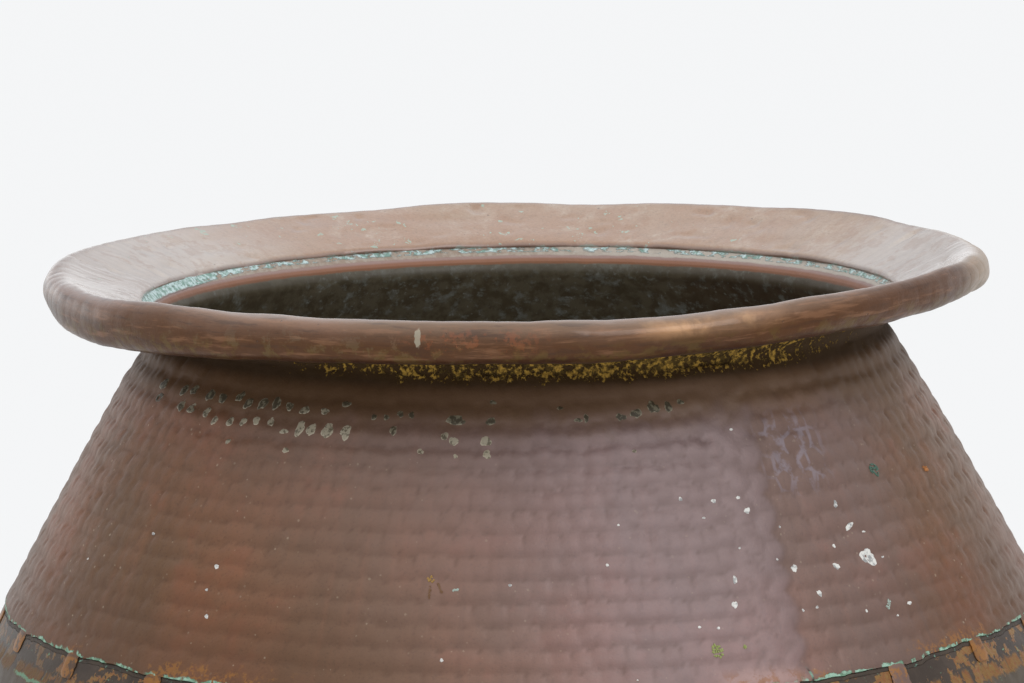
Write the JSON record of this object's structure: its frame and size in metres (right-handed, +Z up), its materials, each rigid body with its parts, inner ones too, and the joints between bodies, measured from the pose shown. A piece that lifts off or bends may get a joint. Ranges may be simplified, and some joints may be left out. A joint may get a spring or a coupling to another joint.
{
  "type": "copper cauldron",
  "caption": "Large hammered copper cauldron with a round belly, a conical shoulder cramped to the bowl, and a dished rim rolled over a hoop",
  "frame": {"origin": "centre of the flat base, on the surface that the cauldron stands on", "axes": "+Z up along the vessel's axis, through the middle of the mouth; the side that the picture shows faces -Y"},
  "size_m": [0.7604, 0.7604, 0.5773],
  "materials": {
    "bowl_copper": "dark brown weathered copper, hammered",
    "shoulder_copper": "red-brown weathered copper, hammered in courses",
    "rim_copper": "pinkish brown weathered copper, planished",
    "brass_spelter": "tarnished brazing brass",
    "hoop_iron": "rusty wrought iron"
  },
  "bodies": {
    "root": {"bowl_shell": "bowl_copper", "shoulder_shell": "shoulder_copper", "seam_braze": "brass_spelter", "rim_flange": "rim_copper", "rim_hoop": "hoop_iron", "neck_braze": "brass_spelter"}
  },
  "joints": []
}
